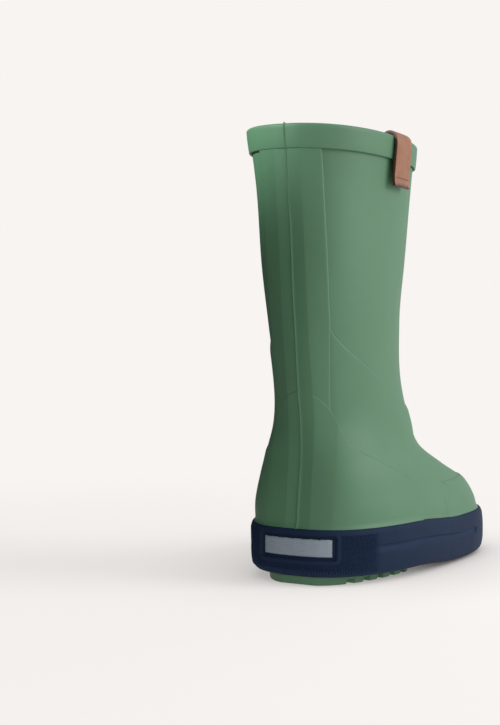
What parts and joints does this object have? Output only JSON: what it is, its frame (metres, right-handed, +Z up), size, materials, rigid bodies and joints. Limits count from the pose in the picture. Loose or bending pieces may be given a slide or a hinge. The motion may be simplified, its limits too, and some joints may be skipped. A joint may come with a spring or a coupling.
{
  "type": "rubber rain boot",
  "caption": "Child's knee-length rubber rain boot, right foot, with a cupped two-colour sole, heel reflector, loose insole and a leather pull tab on the rim.",
  "frame": {"origin": "on the floor under the middle of the heel, on the flat bottom of a heel lug", "axes": "+Z up along the shaft, toe towards -Y, outer (lateral) side of the foot towards -X"},
  "size_m": [0.1004, 0.208, 0.2365],
  "materials": {
    "green_rubber": "satin sage green rubber",
    "navy_rubber": "matt navy rubber with a fine knurl at the heel",
    "reflective_tape": "woven silver reflective tape",
    "tab_leather": "tan leather, matt",
    "lining_fabric": "knitted textile lining",
    "insole_board": "pressed fibre board",
    "insole_foam": "closed-cell foam",
    "filler_foam": "closed-cell foam",
    "thread": "waxed thread"
  },
  "bodies": {
    "boot": {"upper_shell": "green_rubber", "top_band": "green_rubber", "back_stay": "green_rubber", "heel_counter": "green_rubber", "outer_quarter": "green_rubber", "inner_quarter": "green_rubber", "toe_cap": "green_rubber", "textile_lining": "lining_fabric", "insole_board": "insole_board", "midsole_filler": "filler_foam", "sole_sidewall": "navy_rubber", "heel_reflector": "reflective_tape", "heel_tread": "green_rubber", "forefoot_tread": "green_rubber", "tab_anchor": "tab_leather", "tab_stitching": "thread"},
    "insole": {"insole_foam": "insole_foam", "insole_top_cloth": "lining_fabric"},
    "tab": {"tab_flap": "tab_leather"}
  },
  "joints": [
    {"name": "tab_lift", "type": "hinge", "parent": "boot", "child": "tab", "pos_m": [-0.03193, -0.01971, 0.23648], "axis": [-0.0683, 0.9977, -0.0024], "range_deg": [0, 105]},
    {"name": "insole_lift", "type": "hinge", "parent": "boot", "child": "insole", "pos_m": [0, -0.15, 0.0197], "axis": [1, 0, 0], "range_deg": [0, 6]}
  ]
}
